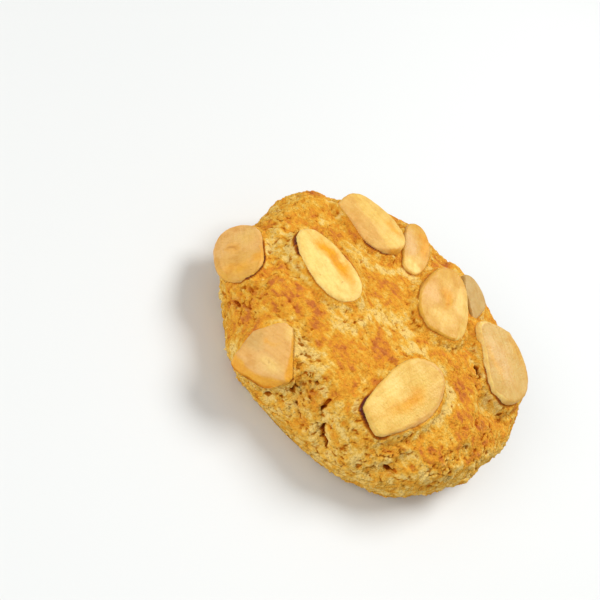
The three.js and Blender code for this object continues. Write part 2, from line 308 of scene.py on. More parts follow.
SLICES = {
    "almond_long": Slice(
        heading=162, colour=CREAM, crown=0.4, fall=0.25, breadth=0.8,
        rounded=((-50, 60, 0.8, 0.25, BUTTER, 0.5),),
        dimples=((-0.5, -1.6, 7.5, 2.0, 0.25),),
        tints=(
            (-0.4, -1.7, 9.5, 2.8, TOAST, 1.0),
            (1.5, -1.2, 8.0, 2.2, TOAST, 1.0),
            (-8.5, -1.0, 3.6, 3.5, BUTTER, 0.6),
            (1.0, -5.0, 7.0, 1.3, TAN, 0.7),
        ),
        burnt_and_shaded=((22, 34, 1.0, 0.9), (120, 50, 0.5, 0.35)),
    ),
    "almond_front": Slice(
        heading=87, colour=BUTTER,
        rounded=((-50, 85, 1.0, 0.45, PINK, 0.8), (-130, 40, 0.8, 0.3, PINK, 0.5)),
        dimples=((1.8, -0.4, 4.5, 3.2, 0.2),),
        tints=(
            # Partly painted highlight: the cream on the upper left is pale almond and also light falling on
            # it
            (-3.5, 2.6, 7.0, 3.4, CREAM, 0.9),
            (0.6, -1.0, 4.4, 2.8, TOAST, 0.8),
            (-1.8, -0.8, 3.6, 2.2, TOAST, 0.5),
            (-4.0, 0.4, 5.0, 2.2, TOAST, 0.35),
            (7.0, -3.5, 5.0, 3.4, PINK, 0.6),
            (-2.0, -5.0, 6.0, 1.8, PINK, 0.5),
        ),
        burnt_and_shaded=((172, 40, 0.85, 1.0), (235, 40, 0.45, 0.3)),
    ),
    "almond_centre": Slice(
        heading=114, colour=TAN, spread=0.3,
        facets=((-90, 3.9, 0.4, CREAM, 0.6),),
        dimples=((0.2, 0.2, 3.2, 1.6, 0.25),),
        tints=(
            (4.0, 0.5, 4.5, 5.0, BUTTER, 0.35),
            (-4.5, 0.5, 5.0, 5.0, BUTTER, 0.8),
            (0.0, 4.0, 6.0, 3.0, PINK, 0.8),
            (2.0, -3.2, 5.5, 2.0, CREAM, 0.7),
            (0.2, 0.4, 3.6, 1.6, TOAST, 0.7),
            (-0.6, 0.2, 1.4, 0.5, SINGED, 0.4),
        ),
        burnt_and_shaded=((140, 60, 0.6, 0.45),),
    ),
    "almond_tucked": Slice(heading=140, colour=BEIGE, spread=0.7),
    "almond_left_rim": Slice(
        heading=142, colour=PINK, shows=0.4,
        # Partly painted shade: the umber on the lower right rim is the almond's brown and shade on the side
        # turned from the light
        rounded=((150, 60, 1.2, 0.4, TAN, 0.5), (230, 40, 0.6, 0.3, UMBER, 0.6)),
        facets=((185, 5.9, 0.35, TAN, 0.5),),
        tints=(
            (0.5, 1.0, 2.6, 1.8, UMBER, 0.5),
            (0.4, 1.2, 1.1, 0.4, SINGED, 0.5),
            (3.0, 1.6, 0.9, 0.35, SINGED, 0.45),
            (3.5, -2.0, 4.5, 4.0, BUTTER, 0.5),
            (-3.0, 0.0, 4.0, 6.0, TAN, 0.5),
            (-4.5, -3.8, 2.0, 1.6, UMBER, 0.8),
            (-5.5, 1.0, 2.4, 5.0, UMBER, 0.7),
        ),
        burnt_and_shaded=((215, 45, 0.6, 0.8), (170, 30, 0.55, 0.7), (265, 30, 0.55, 0.5)),
    ),
    "almond_front_rim": Slice(
        heading=16, colour=PINK, spread=0.15, crown=0.5, shows=1.5,
        facets=((290, 4.4, 1.0, UMBER, 1.0), (24, 3.2, 1.0, UMBER, 1.0), (255, 4.9, 0.9, UMBER, 0.9)),
        tints=(
            (2.5, 5.0, 4.0, 2.4, CREAM, 0.9),
            (1.5, -2.0, 3.5, 2.5, CREAM, 0.6),
            (-3.5, 0.5, 3.0, 3.0, BEIGE, 0.5),
            (-1.0, 2.0, 1.2, 0.5, UMBER, 0.5),
            (0.8, -1.6, 0.9, 0.3, SINGED, 0.4),
        ),
        burnt_and_shaded=((330, 40, 0.6, 0.6),),
    ),
    "almond_right_rim": Slice(
        heading=164, colour=WHEAT, shows=0.2,
        rounded=((80, 110, 0.8, 0.35, CREAM, 0.7), (200, 50, 0.7, 0.3, TAN, 0.5)),
        tints=(
            (0.0, 0.2, 9.0, 3.6, PINK, 0.4),
            (0.0, 1.5, 8.0, 2.8, ROSE, 0.5),
            (1.0, 3.0, 7.0, 1.2, UMBER, 0.45),
            (0.0, -5.0, 8.0, 2.0, TAN, 0.7),
        ),
        burnt_and_shaded=((120, 45, 0.65, 0.85), (170, 25, 0.6, 0.75)),
    ),
    "almond_back_left": Slice(
        heading=180, colour=BUTTER, spread=0.15, shows=0.4,
        rounded=((140, 50, 0.8, 1.0, UMBER, 0.8),),
        # Partly painted shade: the pink of the left flank's facet and first patch darkens the side turned
        # from the light
        facets=((75, 0.8, 0.4, PINK, 0.6), (-90, 3.0, 0.2, BUTTER, 0.3)),
        tints=(
            (2.0, 3.6, 9.0, 3.4, PINK, 0.6),
            (-3.5, -2.4, 4.5, 1.4, TOAST, 0.7),
            (-6.5, -0.5, 3.0, 3.0, CREAM, 0.7),
        ),
        burnt_and_shaded=((140, 45, 0.65, 0.8),),
    ),
    "almond_back": Slice(
        heading=120, colour=TAN, spread=0.8,
        tints=(
            (2.0, -1.8, 5.5, 2.4, TOAST, 0.7),
            (1.0, 2.2, 6.0, 2.2, ROSE, 0.6),
            # Painted highlight: the cream at the lower end is pale almond and also the glint of light on it
            (-4.8, 0.6, 3.8, 3.2, CREAM, 1.0),
        ),
        burnt_and_shaded=((150, 40, 0.55, 0.5),),
    ),
}
SLICE_RIM_QUADS = 48
SLICE_RIM_BEVEL = 0.07  # of the slice's half width
SHARP_RIM = 60  # degrees
OUTLINE_STEPS = 180
UNDER_FACING = -0.8  # faces turned this far from the broad top make up the underside
UNDER_RISE = 0.7 * MM  # how far the underside rises to the rim, and over what breadth
UNDER_BREADTH = 1.4 * MM
ROUNDED_POWER = 1.5  # how a rounded rim falls away
ROUNDED_TINT = (0.7, 1.1)  # where its colour starts to fade and ends, in breadths
FACET_TINT = (-0.25 * MM, 0.4 * MM)  # where a flat cut's colour starts and is full, beyond its crease
OVAL_CORE = 0.15  # full share of a patch's or hollow's reach
STRETCH_CORE = 0.6  # full share of a stretch of rim
CREASE_ROUND = 0.2 * MM
CREASE_LINE = 0.3 * MM  # half the breadth of the brown line along a rounded rim's crease
CREASE_BROWN = 0.35
RAGGED = [(2.6, 0.12), (0.9, 0.07)]  # how the outline strays
TINT_WANDERS = [(3.0, 1.2), (1.0, 0.5)]
CREASE_WOBBLE = 0.35 * MM
CREASE_WOBBLE_SIZE = 1.8 * MM
SLICE_WAVE = 0.2 * MM
SLICE_WAVE_SIZE = 4.0 * MM

# Colours of the crust from sandy to deeply browned; of pale crumbs, also laid as a painted highlight on
# crumbs that stand out; of painted shade in its hollows; and of the caramel and painted contact shadow round
# a slice, from its russet edge to its dark middle
CRUST_COLOURS = [
    (0.83, 0.565, 0.165),
    (0.78, 0.455, 0.075),
    (0.75, 0.365, 0.036),
    (0.72, 0.3, 0.024),
    (0.65, 0.23, 0.026),
    (0.53, 0.155, 0.03),
]
MOST_BROWN = 1.3  # browning of the last of these colours
CRUST_STREAKS = (0.28, 1.0, 1.0)  # stretches the noise along X
CRUST_SAND = 0.55 * MM
CRUST_BUMP = 0.3 * MM
# Pale crumb, laid also as a painted highlight on crumbs that stand out and on scattered specks
PALE_CRUMB_AND_HIGHLIGHT = (0.92, 0.66, 0.22, 1)
# Painted shade: the first darkens every hollow between crumbs, the second the deep hollows and gashes
HOLLOW_PAINTED_SHADE = (0.6, 0.33, 0.1, 1)
DEEP_HOLLOW_SHADE = (0.22, 0.03, 0.001, 1)
# Burnt caramel and painted contact shadow beneath a slice's rim, from its russet edge to its dark middle
RUSSET = (0.4, 0.11, 0.006, 1)
DARK_CARAMEL_AND_SHADOW = (0.1, 0.008, 0.002, 1)

# Spans over which these colours come in: depth of a hollow in mm, less than 0 on what stands out, and the
# caramel with its painted shadow
HIGHLIGHT_SPAN = (-0.4, -0.05)
HOLLOW_SHADE_SPAN = (0.02, 0.25)
DEEP_SHADE_SPAN = (0.35, 0.75)
RUSSET_SPAN = (0.05, 0.5)
CARAMEL_AND_SHADOW_SPAN = (0.4, 0.9)

# Crumbs that cling to the wall and the foot
CRUMB_COUNT = 1000
CRUMB_RADII = (0.14 * MM, 0.36 * MM)
CRUMB_SHAPES = 4
CRUMB_LUMPS = (0.6, 1.25)  # how far its corners lie from its middle, in radii
CRUMB_SUNK = 0.52  # share of its height that is sunk in the crust
CRUMB_SHADES = (0.3, 1.2)  # its browning, as shares of the crust's
CRUMB_LOWEST = 0.3 * MM
CRUMB_CENTRE = Vector((0, 0, 8.0 * MM))  # they lie in every direction from here
CRUMB_CHANCE = 1.05  # on an upright wall without browning
CRUMB_BROWN_LOSS = 0.6  # what full browning takes from the chance
CRUMB_LEAST = 0.05


# What every piece needs


def link(thing):
    bpy.context.scene.collection.objects.link(thing)


def deselect_all():
    bpy.ops.object.select_all(action="DESELECT")


def finish_with(piece, kind, **settings):
    """Adds one modifier with these settings to a piece and applies it."""
    bpy.context.view_layer.objects.active = piece
    modifier = piece.modifiers.new(kind.lower(), kind)
    for setting, value in settings.items():
        setattr(modifier, setting, value)
    bpy.ops.object.modifier_apply(modifier=modifier.name)


def subdivide(piece, levels):
    finish_with(piece, "SUBSURF", levels=levels, render_levels=levels)


def vectors(items, name):
    """One vector of each item as a row of an array."""
    flat = np.empty(len(items) * 3)
    items.foreach_get(name, flat)
    return flat.reshape(-1, 3)


def vertex_places(mesh):
    return vectors(mesh.vertices, "co")


def weigh(piece, name, weights):
    """Writes one weight for every vertex into a vertex group."""
    group = piece.vertex_groups.new(name=name)
    for index in np.flatnonzero(weights > LEAST_WEIGHT):
        group.add([int(index)], float(weights[index]), "REPLACE")


def paint(piece, name, values):
    """Writes one value for every vertex into an attribute that a material can read."""
    attribute = piece.data.attributes.new(name, "FLOAT", "POINT")
    attribute.data.foreach_set("value", np.asarray(values, dtype=np.float32))


def smoothstep(low, high, values):
    share = np.clip((values - low) / (high - low), 0.0, 1.0)
    return share * share * (3.0 - 2.0 * share)


def fade(low, high, values):
    """1 up to low, and softly down to 0 at high."""
    return 1 - smoothstep(low, high, values)


def noise_at(points, size):
    return np.array([noise.noise(Vector(point) / size) for point in points])


def face_tree(mesh):
    """A search tree of a mesh's faces."""
    return BVHTree.FromPolygons([v.co for v in mesh.vertices], [p.vertices for p in mesh.polygons])


def bearing(turn):
    """The level direction at an angle in radians."""
    return math.cos(turn), math.sin(turn)


def polar(local):
    """Angle and distance of every point from a slice's middle, seen from above."""
    return np.arctan2(local[:, 1], local[:, 0]), np.hypot(local[:, 0], local[:, 1])


def level_places(angle, out):
    """Points at these angles and distances from a slice's middle."""
    return np.stack([out * np.cos(angle), out * np.sin(angle), 0 * out], axis=1)


def disc_of_quads(quads, radius, height):
    """A flat round disc of even quads, left open in edit mode."""
    deselect_all()
    bpy.ops.mesh.primitive_circle_add(vertices=quads, radius=radius, location=(0, 0, height))
    disc = bpy.context.active_object
    bpy.ops.object.transform_apply()
    bpy.ops.object.mode_set(mode="EDIT")
    bpy.ops.mesh.select_all(action="SELECT")
    bpy.ops.mesh.fill_grid(span=quads // 4)
    return disc


def select_open_rim():
    bpy.ops.mesh.select_mode(type="EDGE")
    bpy.ops.mesh.select_all(action="DESELECT")
    bpy.ops.mesh.select_non_manifold(
        extend=False, use_wire=False, use_multi_face=False, use_non_contiguous=False, use_verts=False
    )


def turn_faces_out():
    bpy.ops.mesh.select_all(action="SELECT")
    bpy.ops.mesh.normals_make_consistent(inside=False)


def shade_softly(piece):
    deselect_all()
    piece.select_set(True)
    bpy.ops.object.shade_smooth()


# The dough


def rounding(turn, power):
    """How far a rounded corner reaches in its two directions at an angle in radians."""
    return max(math.cos(turn), 0.0) ** (2 / power), math.sin(turn) ** (2 / power)


def dough_rows(radius, height):
    """(radius, height) of the disc's rim and of each row of the skirt, down to the foot."""
    girth = GIRTH_SHARE * height
    first = math.asin(DISC_SHARE ** (SHOULDER_POWER / 2))
    rows = []
    for i in range(SHOULDER_ROWS + 1):
        turn = first + (math.pi / 2 - first) * i / SHOULDER_ROWS
        up, out = rounding(turn, SHOULDER_POWER)
        rows.append((radius * out, girth + (height - girth) * up))
    for i in range(1, FOOT_ROWS + 1):
        out, down = rounding(math.pi / 2 * i / FOOT_ROWS, FOOT_POWER)
        rows.append((radius * (FOOT_SHARE + (1 - FOOT_SHARE) * out), girth * (1 - down)))
    return rows


def dough_blank():
    low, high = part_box("dough")
    rows = dough_rows((high.x - low.x + high.y - low.y) / 4, high.z)
    radius, height = rows[0]
    blank = disc_of_quads(RIM_QUADS, radius, height)
    blank.name = "crumbly_dough"
    select_open_rim()
    for wider, lower in rows[1:]:
        bpy.ops.mesh.extrude_region_move(TRANSFORM_OT_translate={"value": (0, 0, lower - height)})
        grow = wider / radius
        bpy.ops.transform.resize(value=(grow, grow, 1), center_override=(0, 0, lower))
        radius, height = wider, lower
    turn_faces_out()
    bpy.ops.object.mode_set(mode="OBJECT")
    return blank


def slice_distance(points, trees):
    """Distance from every point to the nearest almond slice, up to the reach of its bed."""
    distance = np.full(len(points), BED_FADE)
    for i, point in enumerate(points):
        for tree in trees:
            *_, near = tree.find_nearest(point, distance[i])
            if near is not None:
                distance[i] = min(distance[i], near)
    return distance


def run_distance(points, spots):
    """Distance from every point to a run of straight stretches between spots."""
    away = np.full(len(points), np.inf)
    for start, end in zip(spots, spots[1:]):
        stretch = end - start
        along = np.clip((points - start) @ stretch / (stretch @ stretch), 0, 1)
        away = np.minimum(away, np.linalg.norm(points - start - along[:, None] * stretch, axis=1))
    return away


def distance_to(points, spot):
    """Distance from every point to a spot in mm."""
    return np.linalg.norm(points - np.array(spot) * MM, axis=1)


def nearest(points, run):
    """Which point lies nearest to each spot of a run in mm."""
    return [np.argmin(distance_to(points, spot)) for spot in run]


def astray(points, wanders):
    """The points moved by smooth noise, once for each (size, reach) in mm."""
    for size, reach in wanders:
        bends = [noise.noise_vector(Vector(point) / (size * MM)) for point in points]
        points = points + reach * MM * np.array(bends)
    return points


def valley_weight(points):
    """Where the wide valleys of the solid's gashes lie."""
    away = np.min([run_distance(points, points[nearest(points, run)]) for run, *_ in GASHES], axis=0)
    return fade(*VALLEY, away)


def gash_depth(points):
    """How far each point sinks into a gash, in metres."""
    moved = astray(points, GASH_WANDERS)
    pinch = 1.0 + GASH_PINCH * noise_at(points, GASH_PINCH_SIZE)
    unbridged = smoothstep(*GASH_BRIDGE_EDGES, noise_at(points, GASH_BRIDGE_SIZE))
    sunk = np.zeros(len(points))
    for run, depth, half in GASHES:
        away = run_distance(moved, moved[nearest(points, run)])
        share = away / (pinch * half * MM)
        sunk = np.maximum(sunk, depth * MM * fade(*GASH_FLANKS, share))
    return (GASH_BRIDGED + (1 - GASH_BRIDGED) * unbridged) * sunk


def opening(spot, mean, spread, bends):
    """How far the crust opens at a spot of the noise, at least 0."""
    return max(0.0, mean + spread * noise.noise(spot * bends))


def crack_depth(points):
    """How deep each point lies in the fine cracks, 1 on a crack's line."""
    sunk = np.zeros(len(points))
    for i, point in enumerate(astray(points, CRACK_WANDERS)):
        spot = Vector(point) / CRACK_CELL
        near = noise.voronoi(spot)[0]
        gap = (near[1] - near[0]) * CRACK_CELL
        sunk[i] = opening(spot, *CRACK_OPENING) * max(0.0, 1 - gap / (2 * CRACK_HALF_WIDTH))
    return np.clip(sunk, 0, 1)


def pit_depth(points):
    """How deep each point lies in a pit, 1 in its middle."""
    sunk = np.zeros(len(points))
    for i, point in enumerate(astray(points, PIT_WANDERS)):
        spot = Vector(point) / PIT_CELL
        centre = noise.voronoi(spot)[0][0] * PIT_CELL
        sunk[i] = opening(spot, *PIT_OPENING) * max(0.0, 1 - centre / PIT_RADIUS)
    return np.clip(sunk, 0, 1)


def browning(points, wall):
    """How brown the oven left each point of the crust."""
    moved = astray(points, BROWN_WANDERS)
    brown = TOP_BROWN + (WALL_BROWN - TOP_BROWN) * wall
    for centre, reach, amount in BROWNED:
        away = np.linalg.norm(moved - moved[nearest(points, [centre])], axis=1)
        brown = np.maximum(brown, amount * fade(PATCH_CORE, BROWNED_END, away / (reach * MM)))
    for run, reach in SEAMS:
        away = run_distance(moved, moved[nearest(points, run)])
        parted = fade(SEAM_CORE, 1.0, away / (reach * MM))
        brown = brown * (1 - parted) + SEAM_BROWN * parted
    return brown


def folds(points, size):
    """Soft rolls with sharp creases between them, from 0 in a crease to about 0.7."""
    spots = points * FOLD_STRETCH
    return sum(share * np.abs(noise_at(spots, size / finer)) for finer, share in FOLD_LAYERS)


def grains(points, size):
    """Crumbs packed side by side, some standing higher than others, from about -0.7 to 0.7."""
    heights = np.empty(len(points))
    for i, point in enumerate(points):
        away, centres = noise.voronoi(Vector(point) / size)
        dome = 1 - min(away[0], 1.0) ** GRAIN_ROUND
        seam = min((away[1] - away[0]) / GRAIN_SEAM, 1.0)
        own = noise.noise(centres[0] * GRAIN_SHUFFLE)
        heights[i] = GRAIN_SHARES @ (dome, seam, own)
    return heights - GRAIN_MEAN


def roughness(points, wall, brown):
    """How crumbly each point of the crust is."""
    rough = TOP_ROUGH + (WALL_ROUGH - TOP_ROUGH) * wall - SKIN_CALM * smoothstep(*SKIN_BROWN, brown)
    for centre, reach, gain in CRUMBLY:
        rough += gain * fade(PATCH_CORE, 1.0, distance_to(points, centre) / (reach * MM))
    return np.minimum(rough, MOST_ROUGH)


def crust_relief(points, rough):
    """Height of the crust's lumps, knobs, folds and crumbs, in metres."""
    moved = astray(points, GRAIN_WANDERS)
    relief = LUMP_RISE * noise_at(points, LUMP_SIZE) + FOLD_RISE * (folds(moved, FOLD_SIZE) - FOLD_MEAN)
    for centre, reach, rise in KNOBS:
        relief += rise * MM * fade(KNOB_CORE, 1.0, distance_to(points, centre) / (reach * MM))
    relief += rough * GRAIN_RISE * grains(moved, GRAIN_SIZE)
    return relief + np.sqrt(rough) * SAND_RISE * grains(moved, SAND_SIZE)


def detail(piece, heights):
    """How far each vertex stands above the ground around it."""
    ends = np.empty(2 * len(piece.data.edges), dtype=int)
    piece.data.edges.foreach_get("vertices", ends)
    first, second = ends.reshape(-1, 2).T
    links = np.bincount(ends, minlength=len(heights))
    ground = heights
    for _ in range(DETAIL_ROUNDS):
        around = np.bincount(first, ground[second], len(heights))
        around += np.bincount(second, ground[first], len(heights))
        ground = (ground + around / links) / 2
    return heights - ground


def swell(piece, name, heights):
    """Moves every vertex along its normal by its own height, out or in."""
    for way in (1, -1):
        part = np.maximum(way * heights, 0)
        weigh(piece, name, part / part.max())
        finish_with(piece, "DISPLACE", strength=way * part.max(), mid_level=0.0, vertex_group=name)
        piece.vertex_groups.clear()


def rise_to_slice(seat, local, outside, lift, level, wavy):
    """How far the dough moves along a slice's upright to meet its rim and to close the gap beneath it."""
    near = fade(0.0, LIP_REACH, outside) * smoothstep(-LIP_TUCK, 0.0, outside)
    rim_fill = np.maximum(lift, 0) * near * level * wavy
    gap = UNDER_RISE * fade(0.0, UNDER_BREADTH, -outside) + BED_TUCK - seat.thickness / 2 - local[:, 2]
    bed_fill = np.maximum(gap, 0) * fade(*BED_GAP, gap) * fade(0.0, BED_SKIRT, outside)
    press = np.minimum(lift, 0) * level * fade(*LIP_PRESS, outside)
    return np.maximum(rim_fill, bed_fill) + press


def caramel_and_shadow_round(seat, look, local, outside, wavy):
    """How much caramel and painted contact shadow lie round a slice: a thin line, darker on the shaded near
    side, and broader stretches.
    """
    angle, out = polar(local)
    backward = (local[:, :2] @ seat.axes[1, :2]) / np.maximum(out, MM)  # from -1 on the near side to 1
    half_line = RIM_LINE / 2
    line = fade(half_line, 2 * half_line, np.abs(outside - half_line))
    # Painted contact shadow: the line is darker on the near side, away from the main light
    caramel_and_shadow = line * (RIM_BROWN_FAR + (RIM_BROWN_NEAR - RIM_BROWN_FAR) * (1 - backward) / 2)
    for facing, half_angle, breadth, strength in look.burnt_and_shaded:
        # A stretch narrows where the lip sinks
        across = fade(DARK_STRETCH_CORE, 1.0, outside / (wavy**2 * breadth * MM))
        caramel_and_shadow = np.maximum(caramel_and_shadow, strength * towards(angle, facing, half_angle) * across)
    return caramel_and_shadow


def draw_up(piece):
    """Draws the dough up against every slice's rim. Gives where caramel and painted contact shadow lie, and
    what lies beside a rim.
    """
    points = vertex_places(piece.data)
    wavy = 1 - LIP_WAVE * np.maximum(noise_at(points, LIP_WAVE_SIZE), 0)
    caramel_and_shadow = np.zeros(len(points))
    beside = np.zeros(len(points))
    for node, look in SLICES.items():
        seat = seats[node]
        local = seat.plan(points)
        angle, out = polar(local)
        outside = out - seat.reach(angle) - look.spread * MM
        lift = seat.thickness / 2 - (look.fall + look.shows) * MM - local[:, 2]
        level = fade(*LIP_LEVEL, np.abs(lift))
        points += np.outer(rise_to_slice(seat, local, outside, lift, level, wavy), seat.axes[:, 2])
        beside = np.maximum(beside, level * fade(*RIM_CALM, np.abs(outside)))
        caramel_and_shadow = np.maximum(caramel_and_shadow, level * caramel_and_shadow_round(seat, look, local, outside, wavy))
    piece.data.vertices.foreach_set("co", points.ravel())
    piece.data.update()
    return caramel_and_shadow, beside


def close_base(piece):
    bpy.context.view_layer.objects.active = piece
    bpy.ops.object.mode_set(mode="EDIT")
    select_open_rim()
    bpy.ops.transform.resize(value=(1, 1, 0), center_override=(0, 0, 0))
    for inward in BASE_RINGS:
        bpy.ops.mesh.extrude_region_move()
        bpy.ops.transform.resize(value=(inward, inward, 1), center_override=(0, 0, 0))
    bpy.ops.mesh.edge_face_add()
    turn_faces_out()
    bpy.ops.object.mode_set(mode="OBJECT")


def make_dough():
    dough = dough_blank()
    subdivide(dough, levels=2)
    finish_with(
        dough,
        "SHRINKWRAP",
        target=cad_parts["dough"],
        wrap_method="PROJECT",
        use_negative_direction=True,
        use_positive_direction=True,
        project_limit=WRAP_LIMIT,
    )
    points = vertex_places(dough.data)
    away = slice_distance(points, [face_tree(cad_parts[node].data) for node in SLICES])
    weigh(dough, "bed", fade(BED_FULL, BED_FADE, away))
    weigh(dough, "valley", valley_weight(points))
    for group, rounds in (("bed", BED_ROUNDS), ("valley", VALLEY_ROUNDS), ("", SKIN_ROUNDS)):
        finish_with(dough, "SMOOTH", iterations=rounds, vertex_group=group)
    dough.vertex_groups.clear()
    subdivide(dough, levels=1)
    caramel_and_shadow, beside = draw_up(dough)

    points = vertex_places(dough.data)
    normals = vectors(dough.data.vertex_normals, "vector")
    footing = smoothstep(0.0, FOOT_CALM, points[:, 2])
    wall = fade(*STEEPNESS, normals[:, 2])
    brown = browning(points, wall)
    gash = gash_depth(points)
    rough = roughness(points, wall, brown) * (1 - GASH_CALM * np.minimum(gash / GASH_OPEN, 1))
    crack = CRACK_DEPTH * crack_depth(points) * rough
    pit = PIT_DEPTH * pit_depth(points) * (PIT_LEAST + (1 - PIT_LEAST) * rough)
    quiet = 1 - RIM_QUIET * np.maximum(caramel_and_shadow, beside)
    relief = footing * (quiet * (crust_relief(points, rough) - crack - pit) - gash)
    swell(dough, "relief", relief)
    paint(dough, "browning", brown)
    paint(dough, "caramel_and_shadow", caramel_and_shadow)
    # Depth of each hollow: the material paints shade into the hollows and a highlight on what stands out
    paint(dough, "hollow", -detail(dough, relief) / MM)
    close_base(dough)
    shade_softly(dough)
    return dough


def crumb_shapes(random):
    """A few lumpy grains about one unit in radius, as arrays of places, and the faces that they share."""
    deselect_all()
    bpy.ops.mesh.primitive_ico_sphere_add(subdivisions=1, radius=1.0)
    ball = bpy.context.active_object
    places = vertex_places(ball.data)
    faces = np.array([face.vertices[:] for face in ball.data.polygons])
    bpy.data.objects.remove(ball)
    shapes = [places * random.uniform(*CRUMB_LUMPS, (len(places), 1)) for _ in range(CRUMB_SHAPES)]
    return shapes, faces


def make_crumbs(dough):
    """Grains scattered over the wall and, fewer, over the top, each sunk a little into the crust."""
    random = np.random.default_rng(SEED)
    shapes, faces = crumb_shapes(random)
    mesh = dough.data
    tree = face_tree(mesh)
    brown = np.empty(len(mesh.vertices), dtype=np.float32)
    mesh.attributes["browning"].data.foreach_get("value", brown)
    crumbs = []
    shades = []
    while len(crumbs) < CRUMB_COUNT:
        outward = Vector(random.normal(size=3)).normalized()
        luck = random.random()
        radius = random.uniform(*CRUMB_RADII)
        turn = np.linalg.qr(random.normal(size=(3, 3)))[0]
        shape = shapes[random.integers(CRUMB_SHAPES)]
        shade = random.uniform(*CRUMB_SHADES)
        place, normal, face, _ = tree.ray_cast(CRUMB_CENTRE, outward)
        browned = brown[list(mesh.polygons[face].vertices)].mean()
        chance = max(CRUMB_CHANCE - normal.z - CRUMB_BROWN_LOSS * browned, CRUMB_LEAST)
        if place.z > CRUMB_LOWEST and luck < chance:
            middle = np.array(place + (1 - 2 * CRUMB_SUNK) * radius * normal)
            crumbs.append(middle + radius * shape @ turn)
            shades.append(shade * browned)
    each = len(shapes[0])
    joined = np.concatenate([faces + i * each for i in range(CRUMB_COUNT)])
    data = bpy.data.meshes.new("clinging_crumbs")
    data.from_pydata(np.concatenate(crumbs), [], joined)
    data.update()
    piece = bpy.data.objects.new("clinging_crumbs", data)
    link(piece)
    paint(piece, "browning", np.repeat(shades, each))
    for name in ("caramel_and_shadow", "hollow"):
        paint(piece, name, np.zeros(each * CRUMB_COUNT))
    return piece


# The almond slices


class Seat:
    """Where a slice lies: its outline and its own axes, X along its length and Z out of its broad face."""

    def __init__(self, node, heading):
        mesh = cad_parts[node].data
        places = vertex_places(mesh)
        directions = np.linalg.svd(places - places.mean(axis=0), full_matrices=False)[2]
        thin = Vector(directions[2])
        if thin.z < 0:
            thin.negate()
        under = [face.normal * face.area for face in mesh.polygons if face.normal.dot(thin) < UNDER_FACING]
        broad = -sum(under, Vector()).normalized()
        length = Vector((*bearing(math.radians(heading)), 0))
        length = (length - broad * length.dot(broad)).normalized()
        self.axes = np.array((length, broad.cross(length), broad)).T
        local = places @ self.axes
        self.middle = self.axes @ ((local.max(axis=0) + local.min(axis=0)) / 2)
        self.thickness = np.ptp(local[:, 2])
        self.turns = np.linspace(-math.pi, math.pi, OUTLINE_STEPS)
        tree = face_tree(mesh)
        outward = [Vector(self.axes @ (*bearing(turn), 0)) for turn in self.turns]
        self.reaches = [tree.ray_cast(Vector(self.middle), out)[3] for out in outward]

    def plan(self, points):
        """Points of the frame in the slice's own axes."""
        return (points - self.middle) @ self.axes

    def stand(self, local):
        """Points of the slice's own axes in the frame."""
        return local @ self.axes.T + self.middle

    def reach(self, angles):
        """Distance from the slice's middle to its rim at each angle."""
        return np.interp(angles, self.turns, self.reaches)


def slice_blank():
    """A round plate one unit in radius and in thickness, of even quads, with bevelled rims."""
    blank = disc_of_quads(SLICE_RIM_QUADS, 1.0, -0.5)
    bpy.ops.mesh.select_all(action="SELECT")
    bpy.ops.mesh.extrude_region_move(TRANSFORM_OT_translate={"value": (0, 0, 1)})
    turn_faces_out()
    bpy.ops.mesh.select_all(action="DESELECT")
    bpy.ops.mesh.edges_select_sharp(sharpness=math.radians(SHARP_RIM))
    bpy.ops.mesh.bevel(offset=SLICE_RIM_BEVEL, segments=2)
    bpy.ops.object.mode_set(mode="OBJECT")
    subdivide(blank, levels=2)
    shade_softly(blank)
    return blank


def patch(local, along, across, reach_along, reach_across):
    """1 in the middle of a soft oval patch of a slice, 0 outside it."""
    away = np.hypot((local[:, 0] / MM - along) / reach_along, (local[:, 1] / MM - across) / reach_across)
    return fade(OVAL_CORE, 1.0, away)


def wobble(local):
    """How far the crease of a rim or of a flat cut strays at each point of a slice."""
    return CREASE_WOBBLE * noise_at(local * (1, 1, 0), CREASE_WOBBLE_SIZE)


def past_crease(local, facing, crease):
    """How far each point of a slice lies beyond the crease of a flat cut."""
    return local[:, :2] @ bearing(math.radians(facing)) - crease * MM + wobble(local)


def towards(angle, facing, half_angle):
    """1 in the middle of a stretch of rim, 0 beyond its ends."""
    turned = np.abs((np.degrees(angle) - facing + 180) % 360 - 180)
    return fade(STRETCH_CORE, 1.0, turned / half_angle)


